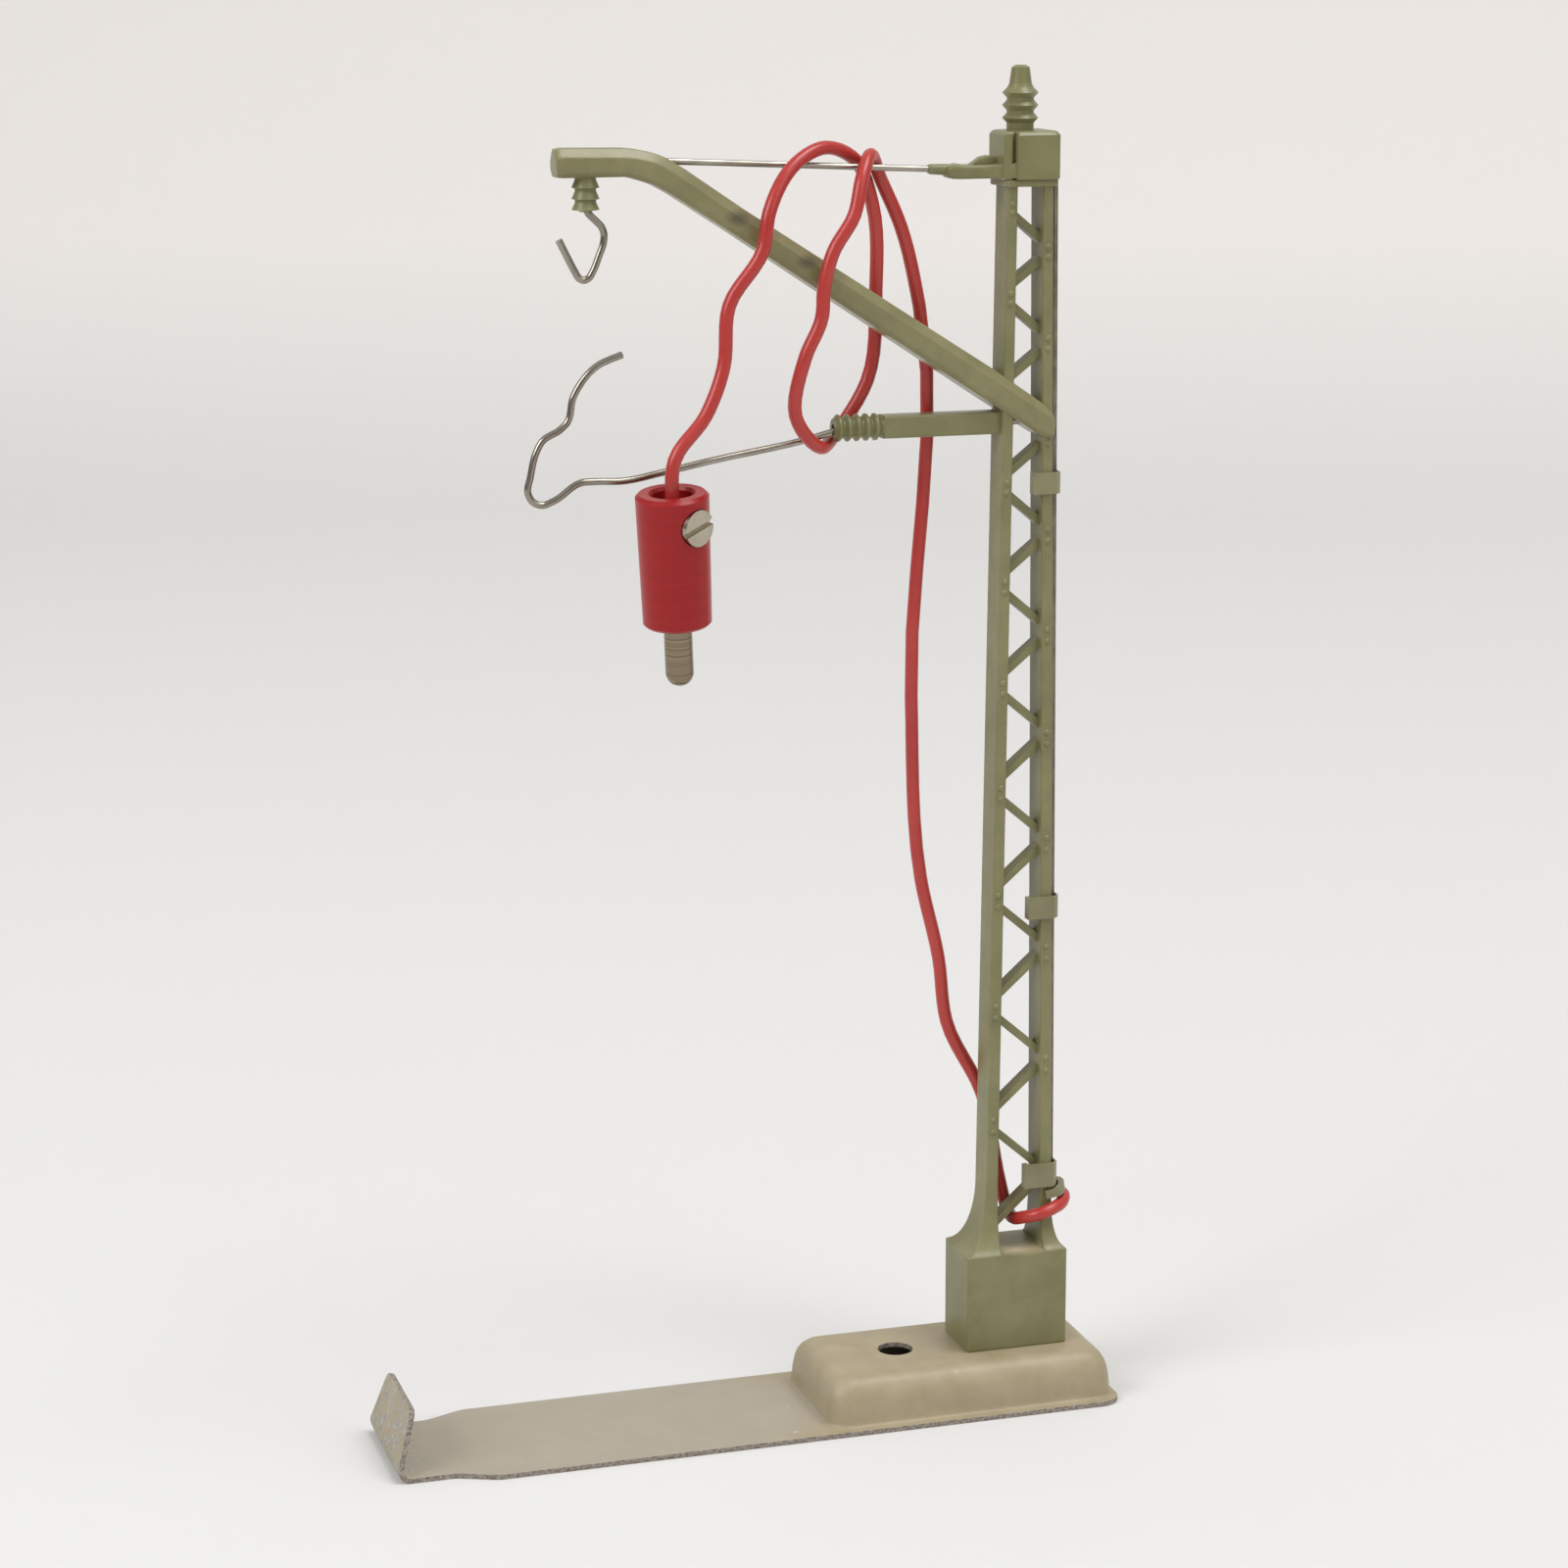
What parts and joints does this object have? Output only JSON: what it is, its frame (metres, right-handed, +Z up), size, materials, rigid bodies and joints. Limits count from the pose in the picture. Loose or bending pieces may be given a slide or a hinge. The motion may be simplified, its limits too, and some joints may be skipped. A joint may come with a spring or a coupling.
{
  "type": "model railway overhead-line mast",
  "caption": "Olive lattice overhead-line mast for a model railway on a pressed base, with bracket arm, wires, conductor strip and a red cord with a plug.",
  "frame": {"origin": "underside of the base, at the middle of its length and width", "axes": "+X from the flap end of the base towards the mast end, +Y away from the side with the clamp screw, +Z up the mast"},
  "size_m": [0.068, 0.016, 0.122],
  "materials": {
    "olive_plastic": "moulded, slightly worn",
    "olive_metal": "painted, worn at the edges",
    "base_paint": "matt paint on pressed sheet, chipped at edges",
    "wire_steel": "drawn wire, slightly dull",
    "strip_metal": "dull dark coating",
    "nickel": "nickel plated, worn",
    "copper_core": "bare strands",
    "solder": "dull solder",
    "red_insulation": "soft satin",
    "red_sleeve": "satin, finely turned"
  },
  "bodies": {
    "frame_body": {"base_plate": "base_paint", "mast": "olive_plastic", "mast_screw": "wire_steel", "screw_washer": "wire_steel", "head_cap": "olive_plastic", "top_insulator": "olive_plastic", "stay_rod": "wire_steel", "bracket_arm": "olive_plastic", "upper_insulator": "olive_plastic", "catenary_hook": "wire_steel", "lower_arm": "olive_plastic", "lower_insulator": "olive_plastic", "steady_wire": "wire_steel", "conductor_strip": "strip_metal", "strip_clip_1": "olive_metal", "strip_clip_2": "olive_metal", "strip_clip_3": "olive_metal", "cord_lug": "olive_metal", "solder_joint": "solder", "cord_core_mast": "copper_core", "cord": "red_insulation", "cord_core_plug": "copper_core", "plug_sleeve": "red_sleeve", "plug_pin": "nickel"},
    "clamp_screw_body": {"plug_clamp_screw": "nickel"}
  },
  "joints": [
    {"name": "clamp_screw_turn", "type": "hinge", "parent": "frame_body", "child": "clamp_screw_body", "pos_m": [-0.00763, -0.0043, 0.08401], "axis": [0.4756, -0.8767, -0.0727], "range_deg": [0, 900]}
  ]
}
